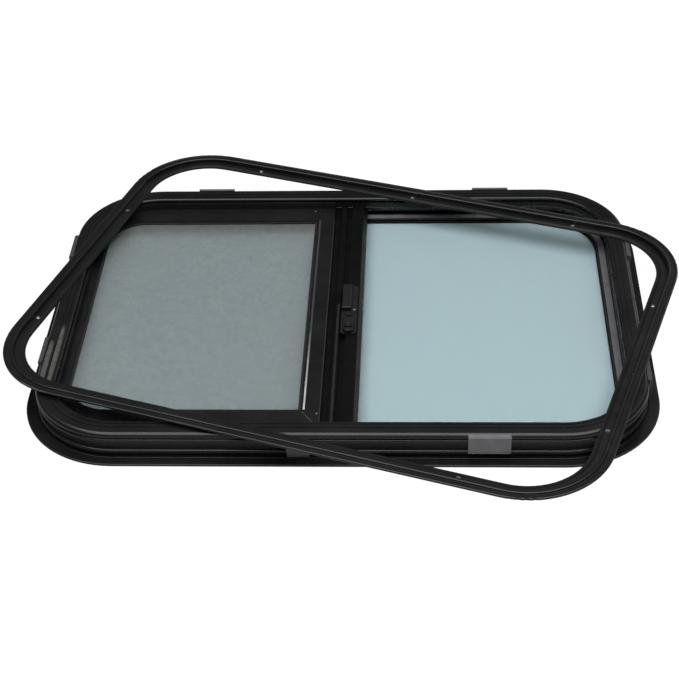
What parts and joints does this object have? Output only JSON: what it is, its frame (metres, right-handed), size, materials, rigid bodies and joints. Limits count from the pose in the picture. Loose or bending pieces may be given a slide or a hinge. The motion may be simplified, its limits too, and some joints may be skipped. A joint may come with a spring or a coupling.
{
  "type": "caravan sliding window",
  "caption": "Rounded caravan window: black flanged frame with fixed and sliding tinted panes, latch, fly screen, cut-out clips and a loose clamp ring lying askew on top.",
  "frame": {"origin": "middle of the window on its outside face, the face that it lies on", "axes": "+X along the sliding tracks towards the fixed pane, +Y up the wall, +Z out of the wall into the room"},
  "size_m": [0.7728, 0.6504, 0.04],
  "materials": {
    "black_frame": "satin black powder coat on aluminium",
    "tinted_glass": "blue-green tinted toughened glass",
    "black_rubber": "matt black rubber",
    "black_plastic": "fine-grained black moulding",
    "grey_plastic": "grey moulding",
    "pile": "black brush pile",
    "fly_mesh": "woven grey insect mesh",
    "steel": "small plated screws"
  },
  "bodies": {
    "frame": {"outer_frame": "black_frame", "frame_joint_plate": "black_frame", "centre_mullion": "black_frame", "fixed_glass": "tinted_glass", "fixed_glass_gasket": "black_rubber", "outside_gasket": "black_rubber", "sash_seal": "black_rubber", "slide_liner": "grey_plastic", "screen_bow": "black_frame", "screen_stile": "black_frame", "screen_mesh": "fly_mesh", "screen_spline": "black_rubber", "screen_screws": "steel", "infill_strip_front": "black_plastic", "infill_strip_back": "black_plastic", "infill_strip_end": "black_plastic", "clamp_ring": "black_frame", "ring_sleeve": "black_frame", "clip_front_left": "grey_plastic", "clip_front_right": "grey_plastic", "clip_back_left": "grey_plastic", "clip_back_right": "grey_plastic", "clip_left_front": "grey_plastic", "clip_left_back": "grey_plastic", "clip_right_front": "grey_plastic", "clip_right_back": "grey_plastic"},
    "sash": {"sliding_glass": "tinted_glass", "meeting_stile": "black_frame", "stile_pile_strip": "pile", "latch_plate": "black_plastic", "latch_screw": "steel", "latch_pivot": "black_plastic"},
    "latch": {"latch_lever": "black_plastic"}
  },
  "joints": [
    {"name": "sash_slide", "type": "slide", "parent": "frame", "child": "sash", "axis": [1, 0, 0], "range_m": [0, 0.205]},
    {"name": "latch_turn", "type": "hinge", "parent": "sash", "child": "latch", "pos_m": [0.0056, -0.022, 0.0245], "axis": [0, 0, 1], "range_deg": [0, 80]}
  ]
}
